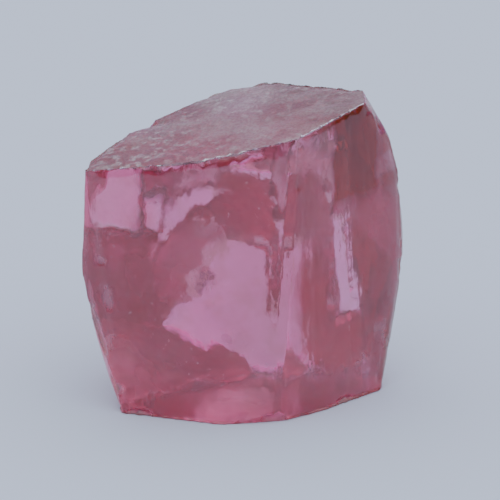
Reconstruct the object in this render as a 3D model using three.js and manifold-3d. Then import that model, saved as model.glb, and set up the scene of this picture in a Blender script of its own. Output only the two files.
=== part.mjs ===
// A rough sapphire: one broken, untreated crystal that rests on its flat bottom.
// Millimetres, +Z up. The model is built round the low front corner of the crystal and is then
// moved so that the origin is the middle of its resting box, on the surface it stands on.
import * as THREE from "three";
import { mergeVertices } from "three/addons/utils/BufferGeometryUtils.js";
import Module from "manifold-3d";

const wasm = await Module();
wasm.setup();

// Driving dimensions.
const FRONT_CORNER_HEIGHT = 14.3; // top face above the low front corner
const TOP_SLOPE_X = 0.19; // rise of the top face per millimetre to the right
const TOP_SLOPE_Y = 0.08; // and per millimetre to the back
const BLOCK = 40; // side of the box that the crystal is cleaved from
const REACH = 160; // side of a box that removes all the stone beyond a plane
const WELD = 1e-4; // corners closer than this are one corner
const COLOUR = 0xa85a70;
const ROUGHNESS = 0.2;

// Each broken face is a plane: the bearing that it faces, from +X towards +Y, its lean, which is
// how far it faces up from level, and a point that it runs through.
const FACES = [
  { name: "front corner left", bearing: -122, lean: 0, at: [-9.15, 0.1, 12.6] },
  { name: "front left", bearing: -101, lean: 3, at: [-6.5, -0.75, 0] },
  { name: "front middle left", bearing: -92, lean: 4, at: [-3.6, -1.33, 0] },
  { name: "front middle", bearing: -79, lean: 5, at: [-1.63, -1.11, 0] },
  { name: "front right", bearing: -63, lean: 3.8, at: [-0.33, -0.8, 0] },
  { name: "front toe", bearing: -72, lean: -35, at: [-0.3, -0.85, 0.45] },
  { name: "right front", bearing: -46, lean: 2, at: [2.41, 1.73, 0] },
  { name: "right front back", bearing: -38, lean: 3, at: [3.85, 3.7, 0] },
  { name: "right front edge", bearing: -27, lean: 3, at: [4.95, 5.98, 8] },
  { name: "right", bearing: -16, lean: 3, at: [5.65, 8, 8] },
  { name: "right foot", bearing: -16, lean: -2, at: [4.7, 5.2, 1] },
  { name: "right shoulder", bearing: 7, lean: 30, at: [3.5, 7.5, 14.75] },
  { name: "right side high", bearing: 7, lean: 15, at: [4.72, 7.63, 12.15] },
  { name: "right side", bearing: 7, lean: 3, at: [5.17, 7.68, 8.2] },
  { name: "right side low", bearing: 7, lean: -10.5, at: [5.16, 7.66, 5.2] },
  { name: "left high", bearing: 176, lean: 3, at: [-10.42, 0.5, 9] },
  { name: "left back high", bearing: 161, lean: 20, at: [-9.5, 3.6, 12.8] },
  { name: "left middle", bearing: 173, lean: -8, at: [-10.55, 0.5, 7.1] },
  { name: "left low", bearing: 182, lean: -13, at: [-9.7, 0.5, 3.55] },
  { name: "left sliver", bearing: -160, lean: -14, at: [-8.3, -0.28, 0] },
  { name: "back left high", bearing: 144, lean: 38, at: [-8.9, 5.6, 13.05] },
  { name: "back left", bearing: 133, lean: 2, at: [-6.5, 9.15, 8] },
  { name: "back left foot", bearing: 149, lean: -50, at: [-5.45, 9.42, 1.8] },
  { name: "back foot", bearing: 112, lean: -20, at: [-3, 12.2, 5.7] },
  { name: "back foot right", bearing: 76, lean: -10, at: [-4, 10.55, 4] },
  { name: "back ridge", bearing: 106, lean: 38, at: [-3.5, 10.25, 14.4] },
  { name: "back right high", bearing: 57, lean: 16, at: [0.25, 8.7, 15.05] },
  { name: "back right", bearing: 68, lean: 3, at: [-2, 11, 8] },
  { name: "back right foot", bearing: 50, lean: -14, at: [3.6, 8.75, 6] },
];

// Each ledge is a bite out of the back, bounded by a few planes of the same kind: only the stone
// that lies outside every one of them has broken away.
const LEDGES = [
  {
    name: "left ledge",
    planes: [
      { bearing: 114, lean: -4, at: [-8.2, 6.95, 9.5] },
      { bearing: 176, lean: 6, at: [-7.2, 7.5, 9.5] },
      { bearing: -8, lean: 74, at: [-8, 7, 7.9] },
      { bearing: 14, lean: -80, at: [-8, 7, 11.4] },
    ],
  },
  {
    name: "small left ledge",
    planes: [
      { bearing: 98, lean: -4, at: [-6.9, 8.2, 9] },
      { bearing: 184, lean: 8, at: [-5.95, 8.2, 9] },
      { bearing: 20, lean: 74, at: [-6.5, 8.5, 7.8] },
      { bearing: 0, lean: -70, at: [-6.5, 8.5, 9.7] },
    ],
  },
  {
    name: "slanting groove",
    planes: [
      { bearing: 98, lean: -3, at: [-5.1, 9.7, 10] },
      { bearing: 180, lean: 30, at: [-4.1, 10, 10.4] },
      { bearing: 0, lean: -30, at: [-5.1, 10, 10.2] },
      { bearing: 120, lean: -75, at: [-3.5, 10, 13.2] },
    ],
  },
  {
    name: "right kite",
    planes: [
      { bearing: 106, lean: -12, at: [-0.4, 9.9, 6] },
      { bearing: 28, lean: 0, at: [-2.4, 11, 6] },
      { bearing: 200, lean: -13, at: [-0.1, 9.5, 3.2] },
      { bearing: 200, lean: 80, at: [0.4, 8.2, 3.2] },
    ],
  },
  {
    name: "corner notch",
    planes: [
      { bearing: 76, lean: 26, at: [-3.2, 10.3, 8] },
      { bearing: 90, lean: -65, at: [-3.2, 10.5, 11.8] },
      { bearing: 10, lean: 0, at: [-4.9, 10.5, 9] },
      { bearing: 170, lean: 0, at: [-1.6, 10.8, 9] },
    ],
  },
  {
    name: "thin right groove",
    planes: [
      { bearing: 108, lean: -8, at: [-2, 10.83, 11] },
      { bearing: 30, lean: 6, at: [-2.7, 11.1, 11] },
      { bearing: 200, lean: 75, at: [-2.3, 10.9, 8.8] },
      { bearing: 200, lean: -60, at: [-2.3, 10.9, 13.2] },
    ],
  },
  {
    name: "chip in the left top edge",
    planes: [
      { bearing: 136, lean: 55, at: [-8.2, 6.2, 13] },
      { bearing: 46, lean: 10, at: [-8.9, 5.6, 13] },
      { bearing: -134, lean: 10, at: [-7.7, 6.9, 13] },
    ],
  },
];

const degrees = THREE.MathUtils.degToRad;

// A closed three.js geometry as a solid that can be cut.
function solidOf(geometry) {
  const bare = geometry.clone();
  bare.deleteAttribute("normal");
  bare.deleteAttribute("uv");
  const merged = mergeVertices(bare, WELD);
  return new wasm.Manifold(
    new wasm.Mesh({
      numProp: 3,
      vertProperties: new Float32Array(merged.attributes.position.array),
      triVerts: new Uint32Array(merged.index.array),
    }),
  );
}

// The outward direction of a plane.
function facing(plane) {
  const level = Math.cos(degrees(plane.lean));
  return new THREE.Vector3(
    Math.cos(degrees(plane.bearing)) * level,
    Math.sin(degrees(plane.bearing)) * level,
    Math.sin(degrees(plane.lean)),
  );
}

// A box that fills the space outside a plane, which runs through the point `at`.
function outside(outward, at) {
  const block = new THREE.BoxGeometry(REACH, REACH, REACH);
  const up = new THREE.Vector3(0, 0, 1);
  block.applyQuaternion(new THREE.Quaternion().setFromUnitVectors(up, outward));
  const middle = new THREE.Vector3(...at).addScaledVector(outward, REACH / 2);
  return solidOf(block.translate(middle.x, middle.y, middle.z));
}

// The whole crystal: a block with a sloping top, its faces broken flat and its ledges bitten out.
function crystal() {
  let stone = solidOf(new THREE.BoxGeometry(BLOCK, BLOCK, BLOCK).translate(0, 0, BLOCK / 2));
  const top = new THREE.Vector3(-TOP_SLOPE_X, -TOP_SLOPE_Y, 1).normalize();
  stone = stone.subtract(outside(top, [0, 0, FRONT_CORNER_HEIGHT]));
  for (const face of FACES) {
    stone = stone.subtract(outside(facing(face), face.at));
  }
  for (const ledge of LEDGES) {
    const pieces = ledge.planes.map((plane) => outside(facing(plane), plane.at));
    stone = stone.subtract(pieces.reduce((bite, piece) => bite.intersect(piece)));
  }
  return stone;
}

// A cut solid as a three.js geometry.
function geometryOf(solid) {
  const mesh = solid.getMesh();
  const geometry = new THREE.BufferGeometry();
  geometry.setAttribute("position", new THREE.BufferAttribute(mesh.vertProperties, 3));
  geometry.setIndex(new THREE.BufferAttribute(mesh.triVerts, 1));
  return geometry;
}

const stone = new THREE.Mesh(
  geometryOf(crystal()),
  new THREE.MeshStandardMaterial({ color: COLOUR, roughness: ROUGHNESS, metalness: 0 }),
);
stone.name = "rough_sapphire";

// The origin is the middle of the crystal's box, on the surface it rests on.
const box = new THREE.Box3().setFromObject(stone);
const middle = box.getCenter(new THREE.Vector3());
stone.position.set(-middle.x, -middle.y, -box.min.z);

const part = new THREE.Group();
part.add(stone);
export default part;
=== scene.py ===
import math

import bmesh
import bpy
import numpy as np
from mathutils import Matrix, Vector


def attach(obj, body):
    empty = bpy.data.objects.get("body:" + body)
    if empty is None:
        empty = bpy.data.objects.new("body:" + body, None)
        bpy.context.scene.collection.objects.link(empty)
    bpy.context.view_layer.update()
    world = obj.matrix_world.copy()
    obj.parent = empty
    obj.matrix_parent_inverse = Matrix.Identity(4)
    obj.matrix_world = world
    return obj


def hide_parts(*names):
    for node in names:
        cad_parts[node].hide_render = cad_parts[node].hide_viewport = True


MM = 0.001
NODE = "rough_sapphire"
WELD = 1e-7  # corners of the CAD solid closer than this are one corner, metres

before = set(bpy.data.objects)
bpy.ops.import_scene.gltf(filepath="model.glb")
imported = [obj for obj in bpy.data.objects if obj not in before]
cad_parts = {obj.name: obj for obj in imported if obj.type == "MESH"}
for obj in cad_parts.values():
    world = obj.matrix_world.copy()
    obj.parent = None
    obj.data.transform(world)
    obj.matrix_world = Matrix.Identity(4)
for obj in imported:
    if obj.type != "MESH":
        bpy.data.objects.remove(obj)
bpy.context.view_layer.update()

# Camera: where the photograph was taken from, and how large it shows the crystal.
CAMERA_AZIMUTH = 7.0
CAMERA_ELEVATION = 18.0
CAMERA_DISTANCE = 170 * MM
PIXELS_PER_MM = 20.0
FRAME_PIXELS = 500
SENSOR_MM = 36.0
CLIP_START = 1 * MM
FRONT_CORNER_PIXEL = (285, 418)
FRONT_CORNER = (2.555, -5.057)  # low front corner of the crystal on its resting face, mm

# Skin of the crystal, mm.
VOXEL = 0.125
BEND_TURN = math.radians(15)  # faces that meet at less than this flow into each other
BEND_REACH = (0.1, 1.2)  # from a sharp edge, where that starts and where it is full
BEND_PASSES = 160
EDGE_TURN = math.radians(20)
EDGE_WIDTH = 0.36
EDGE_ROUNDING = 0.08
EDGE_CHIP = 0.4
CHIP_SIZE = 1.2
CHIP_START = 0.05
WEAR_SHARE = 0.3  # how white a worn edge is
CHIP_SHARE = 2  # and a chip in it
SWELL = 0.05
SWELL_SIZE = 2.8
RIPPLE = 0.014
RIPPLE_SIZE = 0.8
STRIATION = 0.03
STRIATION_SIZE = 0.7
STRIATION_STRETCH = 8
STREAK_FADE = (-0.3, 0.3)
GRAIN = 0.05
GRAIN_SIZE = 0.5

# Seeds of the noises of the skin.
CHIP_SEED = 11
SWELL_SEED = 21
STRIATION_SEED = 31
GRAIN_SEED = 41
RAGGED_SEED = 51
RIPPLE_SEED = 61
GLINT_SEED = 71
NOISE_LAYERS = 4
FEW_LAYERS = 3  # of the noises that are fine from the start
NOISE_TABLE = 4096  # random values that a noise picks from, a power of two
NOISE_HASH = (73856093, 19349663, 83492791)

# Which way a face looks: how far its normal points there, where the mark starts and is full.
TOP_FACING = (0.75, 0.9)
BASE_FACING = (0.8, 0.95)
BASE_HEIGHT = 0.3
FRONT_FACING = (0.3, 0.5)
RIGHT_FACING = (0.45, 0.65)
RIGHT_FRONT_FACING = (0.2, 0.4)

# The faces at the back that broke along the cleavage are polished, and the others are dull.
CLEAVAGE = (-0.165, 0.937, -0.309)
CLEAVAGE_TURN = math.radians(26)
CLEAVAGE_FADE = 0.02

# The light and shade of refractions and reflections inside the stone, painted as tints: the ledges
# high on the left and the foot of the front are painted rosier, a patch high on the right is painted
# dark red shade, and the stone to its right is painted dusky shade, but for one paler patch.
ROSE_SIDE = (-3.5, -4.3)
ROSE_HEIGHT = (6.5, 7.5)
FOOT_HEIGHT = (1.9, 0.9)
FOOT_ROSE = 0.5
FOOT_RIGHT = (3.2, 2.2)
DARK_LEFT = (4.65, 4.8)
DARK_RIGHT = (6.75, 6.6)
DARK_FOOT = (9.7, 10.7)
DUSK_LEFT = (6.5, 6.9)
DUSK_SHARE = (0.35, 0.95)  # below the height of the dark patch, and beside it
PALE_FOOT = (11.2, 11.35)
PALE_HEAD = (12.3, 12.15)
PALE_SHARE = 0.55
RAGGED = 0.25
RAGGED_SIZE = 0.9

# Small marks on the front, each at X and Z, mm: a pit drawn only as painted shade, and a cluster
# of bright chips cut into the skin and whitened as a painted glint.
PIT = (-3.9, 9.2)
PIT_SIZE = (0.35, 0.25)
PIT_SHARE = 0.9
GLINTS = (5.9, 2.1)
GLINTS_SIZE = (0.55, 0.25)
GLINT_SIZE = 0.3
GLINT_FADE = 0.3
GLINT_DEPTH = 0.08

# Glass of the crystal: absorption per metre of red, green and blue light.
REFRACTION = 1.76
ABSORPTION = (8, 118, 76)
ABSORPTION_SCALE = 125

# Tints at the surface, where no mark is and for each mark.
CLEAR_TINT = (0.95, 0.62, 0.82, 1)
CLEAR_MOTTLE_TINT = (0.82, 0.55, 0.63, 1)
# The cleaved faces' paler lilac is painted light, added to the backdrop seen through them.
CLEAVED_WINDOW_LIGHT_TINT = (1, 0.7, 1, 1)
SKIN_TINT = (0.66, 0.52, 0.42, 1)
TOP_TINT = (0.72, 0.7, 0.7, 1)
TOP_GRAIN_TINT = (0.5, 0.36, 0.4, 1)
# Painted light and shade of the reflections inside the stone: a rosy light, and a dark red shade.
PAINTED_ROSY_LIGHT_TINT = (0.93, 0.27, 0.46, 1)
PAINTED_SHADE_TINT = (0.32, 0.005, 0.002, 1)

# How rough the polished, the hazy and the dull places are.
GLOSS_ROUGHNESS = (0.06, 0.16)
HAZE_ROUGHNESS = 0.55
STREAK_HAZE = 0.4
SKIN_HAZE = 0.4
BUMP_DEPTH = 0.03
BUMP_STRENGTH = (0.2, 0.8)

# How much of the light each layer scatters instead of letting it through.
SCUFF_WHITE = (0.08, 0.45)
WEAR_WHITE = 0.3
FLECK_WHITE = 0.3
VEIL_WHITE = (0.03, 0.09)
DULL_WHITE = (0.03, 0.3)

# Noises of the material: scale per metre and detail. Each span says from which value of the
# noise its effect starts, and at which it is full.
FINE_GRAIN = (7000, 3)
GRAIN_SPAN = (0.35, 0.65)
FLECK_SPAN = (0.64, 0.72)
MOTTLE = (900, 15)
MOTTLE_SPAN = (0.45, 0.65)
CLOUDS = (700, 5)
CLOUD_SPAN = (0.45, 0.75)
SCUFF_PATCHES = (300, 4)
SCUFF_PATCH_SPAN = (0.35, 0.65)
SCUFF_PATCH_SHARE = (0.5, 1)
SCUFFS = (2200, 15)
SCUFF_SPAN = (0.48, 0.64)
VEIL = (230, 10)
VEIL_SPAN = (0.4, 0.75)
DULL = (350, 8)
DULL_SPAN = (0.35, 0.7)
BUMPS = (3500, 4)

# Studio.
FLOOR_HALF = 600 * MM
FLOOR_DROP = 0.02 * MM
FLOOR_COLOUR = (0.71, 0.795, 0.92, 1)
FLOOR_ROUGHNESS = 0.9
SKY_COLOUR = (1.27, 1.37, 1.56, 1)
ROOM_COLOUR = (0.33, 0.28, 0.16, 1)
DARK_COLOUR = (0.12, 0.09, 0.07, 1)
BACKDROP_COLOUR = (0.85, 0.5, 1.05, 1)

# Directions of the studio's light: how far the view points up, or to the back.
SKY_UP = (0.2, 0.8)
ROOM_BACK = (-0.7, 0.1)
BACKDROP_BACK = (0.1, 0.5)
BACKDROP_UP = (0.25, 0.55)

# Light crosses the stone many times.
LIGHT_BOUNCES = 16
GLOSSY_BOUNCES = 12


# ---------------------------------------------------------------- noise

def lattice_noise(points, size, seed):
    """Smooth noise from -1 to 1 over 3-D points, with features about size across."""
    table = np.random.default_rng(seed).uniform(-1.0, 1.0, NOISE_TABLE)
    scaled = points / size
    cell = np.floor(scaled).astype(np.int64)
    inside = scaled - cell
    fade = inside * inside * inside * (inside * (inside * 6 - 15) + 10)
    total = np.zeros(len(points))
    for corner in np.ndindex(2, 2, 2):
        mixed = (cell + corner) * np.array(NOISE_HASH)
        index = (mixed[:, 0] ^ mixed[:, 1] ^ mixed[:, 2]) & (NOISE_TABLE - 1)
        weight = np.prod(np.where(corner, fade, 1 - fade), axis=1)
        total += weight * table[index]
    return total


def layered_noise(points, size, seed, layers=NOISE_LAYERS):
    """Noise from about -1 to 1 whose finer layers are each half as strong."""
    total = np.zeros(len(points))
    strength = 1.0
    for layer in range(layers):
        total += strength * lattice_noise(points, size / 2**layer, seed + layer)
        strength *= 0.5
    return total / (2 - 2 * strength)


def ramp(values, start, end):
    """0 up to start, 1 from end, and even in between."""
    return np.clip((values - start) / (end - start), 0, 1)


def around(points, spot, size):
    """1 at a spot of the front, given by its X and Z, and fading out over a size."""
    across = (points[:, 0] - spot[0]) / size[0]
    height = (points[:, 2] - spot[1]) / size[1]
    return np.exp(-(across**2) - height**2)


# ---------------------------------------------------------------- crystal

def fine_mesh(node):
    """A close, even mesh over the CAD solid."""
    mesh = node.data.copy()
    piece = bpy.data.objects.new("crystal", mesh)
    bpy.context.scene.collection.objects.link(piece)
    work = bmesh.new()
    work.from_mesh(mesh)
    bmesh.ops.remove_doubles(work, verts=work.verts, dist=WELD)
    work.to_mesh(mesh)
    work.free()
    remesh = piece.modifiers.new("remesh", "REMESH")
    remesh.mode = "VOXEL"
    remesh.voxel_size = VOXEL * MM
    remesh.use_smooth_shade = True
    depsgraph = bpy.context.evaluated_depsgraph_get()
    shaped = bpy.data.meshes.new_from_object(piece.evaluated_get(depsgraph))
    piece.modifiers.clear()
    piece.data = shaped
    return piece


def sharp_edges(node, turn):
    """Both ends of every edge where two broken faces meet at more than a turn, mm."""
    work = bmesh.new()
    work.from_mesh(node.data)
    bmesh.ops.remove_doubles(work, verts=work.verts, dist=WELD)
    found = [
        (list(edge.verts[0].co / MM), list(edge.verts[1].co / MM))
        for edge in work.edges
        if edge.is_manifold and edge.calc_face_angle() > turn
    ]
    work.free()
    return np.array(found)


def distance_to_edges(points, edges):
    """How far each point is from the nearest of the edges."""
    nearest = np.full(len(points), np.inf)
    for start, end in edges:
        along = end - start
        share = np.clip((points - start) @ along / (along @ along), 0, 1)
        gap = np.linalg.norm(points - start - share[:, None] * along, axis=1)
        nearest = np.minimum(nearest, gap)
    return nearest


def read(mesh, name):
    """The places or the normals of a mesh's vertices, one row each."""
    values = np.empty(len(mesh.vertices) * 3)
    mesh.vertices.foreach_get(name, values)
    return values.reshape(-1, 3)


def soften(piece, node):
    """Lets faces that meet at a slight bend flow into each other."""
    mesh = piece.data
    spots = read(mesh, "co") / MM
    give = ramp(distance_to_edges(spots, sharp_edges(node, BEND_TURN)), *BEND_REACH)[:, None]
    ends = np.empty(len(mesh.edges) * 2, np.int64)
    mesh.edges.foreach_get("vertices", ends)
    ends = ends.reshape(-1, 2)
    at, beside = np.concatenate((ends, ends[:, ::-1])).T
    count = np.bincount(at)
    for _ in range(BEND_PASSES):
        means = [np.bincount(at, spots[beside, axis]) / count for axis in range(3)]
        spots += give * (np.column_stack(means) - spots)
    mesh.vertices.foreach_set("co", (spots * MM).ravel())
    mesh.update()


def facings(spots, normals):
    """How far each point belongs to the top, the base, the front, the right and the cleaved faces."""
    towards_cleavage = normals @ np.array(CLEAVAGE)
    cleaved_from = math.cos(CLEAVAGE_TURN)
    return {
        "top": ramp(normals[:, 2], *TOP_FACING),
        "base": ramp(-normals[:, 2], *BASE_FACING) * (spots[:, 2] < BASE_HEIGHT),
        "right": ramp(normals[:, 0], *RIGHT_FACING) * ramp(-normals[:, 1], *RIGHT_FRONT_FACING),
        "front": ramp(-normals[:, 1], *FRONT_FACING),
        "cleaved": ramp(towards_cleavage, cleaved_from, cleaved_from + CLEAVAGE_FADE),
    }


def painted_light_zones(spots, faces):
    """How far each point lies in the painted rosy light, the dark red patch of painted shade and all
    the painted shade.
    """
    # These zones are painted light and shade of the stone's inner reflections, placed by position.
    ragged = spots + RAGGED * layered_noise(spots, RAGGED_SIZE, RAGGED_SEED)[:, None]
    across, height = ragged[:, 0], ragged[:, 2]
    patch = ramp(across, *DARK_LEFT) * ramp(across, *DARK_RIGHT)
    patch *= ramp(height, *DARK_FOOT) * faces["front"]
    pale = ramp(height, *PALE_FOOT) * ramp(height, *PALE_HEAD)
    dusk = ramp(across, *DUSK_LEFT) * np.interp(height, DARK_FOOT, DUSK_SHARE)
    dusk *= 1 - PALE_SHARE * pale
    ledges = faces["cleaved"] * ramp(spots[:, 0], *ROSE_SIDE) * ramp(spots[:, 2], *ROSE_HEIGHT)
    foot = faces["front"] * ramp(height, *FOOT_HEIGHT) * ramp(across, *FOOT_RIGHT) * FOOT_ROSE
    # The pit has no depth: its dark is painted shade.
    pit = faces["front"] * around(spots, PIT, PIT_SIZE)
    return {
        "rose": np.maximum(ledges, foot),
        "patch": patch,
        "dark": np.maximum(np.maximum(patch, dusk) * (1 - faces["top"]), PIT_SHARE * pit),
    }


def weather(piece, node):
    """Chips the edges, ripples the faces and grains the top, and marks where each shows."""
    mesh = piece.data
    spots = read(mesh, "co") / MM
    normals = read(mesh, "normal")

    faces = facings(spots, normals)
    painted_zones = painted_light_zones(spots, faces)

    gap = distance_to_edges(spots, sharp_edges(node, EDGE_TURN))
    wear = np.exp(-((gap / EDGE_WIDTH) ** 2))
    chips = np.clip(layered_noise(spots, CHIP_SIZE, CHIP_SEED) - CHIP_START, 0, 1)
    upright = spots * np.array([1, 1, 1 / STRIATION_STRETCH])
    striae = layered_noise(upright, STRIATION_SIZE, STRIATION_SEED, FEW_LAYERS)
    glints = faces["front"] * around(spots, GLINTS, GLINTS_SIZE)
    glints *= ramp(lattice_noise(spots, GLINT_SIZE, GLINT_SEED), 0, GLINT_FADE)

    depth = wear * (EDGE_ROUNDING + EDGE_CHIP * chips)
    depth += SWELL * (1 + layered_noise(spots, SWELL_SIZE, SWELL_SEED))
    depth += RIPPLE * (1 + layered_noise(spots, RIPPLE_SIZE, RIPPLE_SEED, FEW_LAYERS))
    depth += faces["right"] * STRIATION * (1 + striae)
    depth += faces["top"] * GRAIN * (1 + layered_noise(spots, GRAIN_SIZE, GRAIN_SEED, FEW_LAYERS))
    depth += GLINT_DEPTH * glints
    depth *= 1 - faces["base"]
    moved = spots - normals * depth[:, None]
    moved[:, 2] = np.maximum(moved[:, 2], 0)
    mesh.vertices.foreach_set("co", (moved * MM).ravel())

    marks = {
        "top": faces["top"],
        "skin": (1 - faces["front"]) * (1 - faces["cleaved"]),
        "cleaved": faces["cleaved"],
        "rose": painted_zones["rose"],
        "dark": painted_zones["dark"],
        "veil": faces["front"] * (1 - painted_zones["patch"]),
        # On the edges the wear mark is real wear; over the glint cluster its whitening is a painted
        # glint.
        "wear": np.clip(wear * (WEAR_SHARE + chips * CHIP_SHARE) + glints, 0, 1),
        "streak": faces["right"] * (1 - painted_zones["patch"]) * ramp(striae, *STREAK_FADE),
    }
    for name, values in marks.items():
        layer = mesh.attributes.new(name, "FLOAT", "POINT")
        layer.data.foreach_set("value", values.astype(np.float32))
    mesh.update()


# ---------------------------------------------------------------- materials

class Nodes:
    """Short ways to add and join the nodes of one material or world."""

    def __init__(self, owner):
        owner.use_nodes = True
        self.tree = owner.node_tree

    def add(self, kind, **settings):
        node = self.tree.nodes.new("ShaderNode" + kind)
        for name, value in settings.items():
            setattr(node, name, value)
        return node

    def join(self, source, target):
        self.tree.links.new(source, target)

    def mark(self, name):
        return self.add("Attribute", attribute_name=name).outputs["Fac"]

    def math(self, operation, *values):
        node = self.add("Math", operation=operation)
        for socket, value in zip(node.inputs, values):
            if isinstance(value, (int, float)):
                socket.default_value = value
            else:
                self.join(value, socket)
        return node.outputs[0]

    def mix(self, share, first, second):
        node = self.add("MixRGB")
        self.join(share, node.inputs[0])
        for socket, colour in zip(node.inputs[1:], (first, second)):
            if isinstance(colour, tuple):
                socket.default_value = colour
            else:
                self.join(colour, socket)
        return node.outputs[0]

    def span(self, value, from_min, from_max, to_min=0.0, to_max=1.0):
        node = self.add("MapRange", interpolation_type="SMOOTHSTEP")
        node.inputs["From Min"].default_value = from_min
        node.inputs["From Max"].default_value = from_max
        node.inputs["To Min"].default_value = to_min
        node.inputs["To Max"].default_value = to_max
        self.join(value, node.inputs["Value"])
        return node.outputs["Result"]

    def noise(self, scale, detail):
        node = self.add("TexNoise")
        node.inputs["Scale"].default_value = scale
        node.inputs["Detail"].default_value = detail
        self.join(self.add("TexCoord").outputs["Object"], node.inputs["Vector"])
        return node.outputs["Fac"]


def crystal_material():
    material = bpy.data.materials.new("pink_sapphire")
    nodes = Nodes(material)
    shader = nodes.tree.nodes["Principled BSDF"]
    shader.inputs["IOR"].default_value = REFRACTION
    absorb = nodes.add("VolumeAbsorption")
    absorb.inputs["Density"].default_value = ABSORPTION_SCALE
    absorb.inputs["Color"].default_value = (*(1 - value / ABSORPTION_SCALE for value in ABSORPTION), 1)
    nodes.join(absorb.outputs[0], nodes.tree.nodes["Material Output"].inputs["Volume"])

    top = nodes.mark("top")
    skin = nodes.mark("skin")
    wear = nodes.mark("wear")
    grain = nodes.noise(*FINE_GRAIN)
    tint = nodes.mix(nodes.span(nodes.noise(*MOTTLE), *MOTTLE_SPAN), CLEAR_TINT, CLEAR_MOTTLE_TINT)
    # The rosy and dark tints and the cleaved faces' paler lilac are painted light and shade; skin and
    # top are the stone's own colour.
    for share, other in (
        (skin, SKIN_TINT),
        (nodes.mark("cleaved"), CLEAVED_WINDOW_LIGHT_TINT),
        (top, nodes.mix(nodes.span(grain, *GRAIN_SPAN), TOP_GRAIN_TINT, TOP_TINT)),
        (nodes.mark("rose"), PAINTED_ROSY_LIGHT_TINT),
        (nodes.mark("dark"), PAINTED_SHADE_TINT),
    ):
        tint = nodes.mix(share, tint, other)
    nodes.join(tint, shader.inputs["Base Color"])

    haze = nodes.math("MAXIMUM", top, wear)
    haze = nodes.math("MAXIMUM", haze, nodes.math("MULTIPLY", nodes.mark("streak"), STREAK_HAZE))
    haze = nodes.math("MAXIMUM", haze, nodes.math("MULTIPLY", skin, SKIN_HAZE))
    gloss = nodes.span(nodes.span(nodes.noise(*CLOUDS), *CLOUD_SPAN), 0, 1, *GLOSS_ROUGHNESS)
    rough = nodes.math("MAXIMUM", gloss, nodes.math("MULTIPLY", haze, HAZE_ROUGHNESS))
    nodes.join(rough, shader.inputs["Roughness"])

    # Each layer that scatters light, and the mark that it shows on.
    patches = nodes.span(nodes.noise(*SCUFF_PATCHES), *SCUFF_PATCH_SPAN, *SCUFF_PATCH_SHARE)
    scuffs = nodes.span(nodes.noise(*SCUFFS), *SCUFF_SPAN, *SCUFF_WHITE)
    scuffs = nodes.math("MULTIPLY", scuffs, patches)
    veil = nodes.span(nodes.noise(*VEIL), *VEIL_SPAN, *VEIL_WHITE)
    dull = nodes.span(nodes.noise(*DULL), *DULL_SPAN, *DULL_WHITE)
    white = nodes.span(grain, *FLECK_SPAN, 0, FLECK_WHITE)
    for layer, mark in ((scuffs, top), (WEAR_WHITE, wear), (veil, nodes.mark("veil")), (dull, skin)):
        white = nodes.math("MAXIMUM", white, nodes.math("MULTIPLY", mark, layer))
    nodes.join(nodes.math("SUBTRACT", 1.0, white), shader.inputs["Transmission Weight"])

    bump = nodes.add("Bump")
    bump.inputs["Distance"].default_value = BUMP_DEPTH * MM
    nodes.join(nodes.noise(*BUMPS), bump.inputs["Height"])
    nodes.join(nodes.span(haze, 0, 1, *BUMP_STRENGTH), bump.inputs["Strength"])
    nodes.join(bump.outputs[0], shader.inputs["Normal"])
    return material


def floor_material():
    material = bpy.data.materials.new("pale_floor")
    shader = Nodes(material).tree.nodes["Principled BSDF"]
    shader.inputs["Base Color"].default_value = FLOOR_COLOUR
    shader.inputs["Roughness"].default_value = FLOOR_ROUGHNESS
    return material


# ---------------------------------------------------------------- studio

def make_floor():
    mesh = bpy.data.meshes.new("floor")
    half = FLOOR_HALF
    corners = [(-half, -half, 0), (half, -half, 0), (half, half, 0), (-half, half, 0)]
    mesh.from_pydata(corners, [], [(0, 1, 2, 3)])
    floor = bpy.data.objects.new("floor", mesh)
    floor.location.z = -FLOOR_DROP
    mesh.materials.append(floor_material())
    bpy.context.scene.collection.objects.link(floor)


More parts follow.
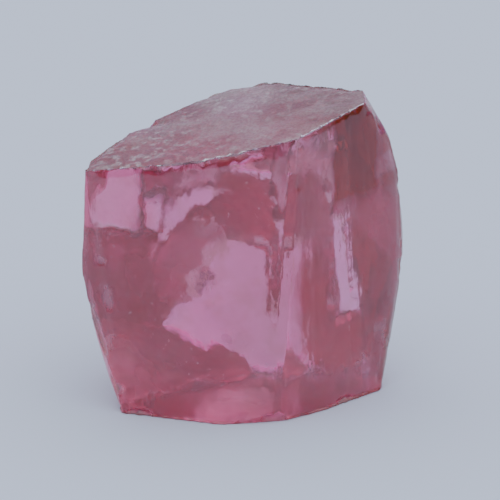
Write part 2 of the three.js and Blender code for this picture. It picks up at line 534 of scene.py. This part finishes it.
def make_camera():
    turn = math.radians(CAMERA_AZIMUTH)
    tilt = math.radians(CAMERA_ELEVATION)
    right = Vector((math.cos(turn), math.sin(turn), 0))
    away = Vector((-math.sin(turn), math.cos(turn), 0))
    ahead = away * math.cos(tilt) - Vector((0, 0, math.sin(tilt)))
    up = right.cross(ahead)
    focal_pixels = CAMERA_DISTANCE / MM * PIXELS_PER_MM
    offset = Vector(FRONT_CORNER_PIXEL) - Vector((FRAME_PIXELS / 2, FRAME_PIXELS / 2))
    corner = Vector((*FRONT_CORNER, 0)) * MM
    towards = ahead * focal_pixels + right * offset.x - up * offset.y
    place = corner - towards / focal_pixels * CAMERA_DISTANCE
    camera = bpy.data.cameras.new("camera")
    camera.sensor_width = SENSOR_MM
    camera.lens = focal_pixels * SENSOR_MM / FRAME_PIXELS
    camera.clip_start = CLIP_START
    holder = bpy.data.objects.new("camera", camera)
    turned = Matrix((right, up, -ahead)).transposed().to_4x4()
    holder.matrix_world = Matrix.Translation(place) @ turned
    bpy.context.scene.collection.objects.link(holder)
    bpy.context.scene.camera = holder


def make_world():
    """Soft light from above, a room that is dark in front and a bright lilac backdrop low behind."""
    world = bpy.data.worlds.new("studio")
    nodes = Nodes(world)
    bpy.context.scene.world = world
    axes = nodes.add("SeparateXYZ")
    nodes.join(nodes.add("TexCoord").outputs["Generated"], axes.inputs[0])
    above = nodes.span(axes.outputs["Z"], *SKY_UP)
    behind = nodes.span(axes.outputs["Y"], *BACKDROP_BACK)
    low = nodes.span(axes.outputs["Z"], *BACKDROP_UP, 1, 0)
    room = nodes.mix(nodes.span(axes.outputs["Y"], *ROOM_BACK), DARK_COLOUR, ROOM_COLOUR)
    sky = nodes.mix(above, room, SKY_COLOUR)
    backdrop = nodes.mix(nodes.math("MULTIPLY", behind, low), sky, BACKDROP_COLOUR)
    nodes.join(backdrop, nodes.tree.nodes["Background"].inputs["Color"])


make_camera()
make_world()
make_floor()
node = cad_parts[NODE]
crystal = fine_mesh(node)
soften(crystal, node)
weather(crystal, node)
crystal.data.materials.clear()
crystal.data.materials.append(crystal_material())
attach(crystal, "root")
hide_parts(NODE)
cycles = bpy.context.scene.cycles
cycles.max_bounces = LIGHT_BOUNCES
cycles.glossy_bounces = GLOSSY_BOUNCES
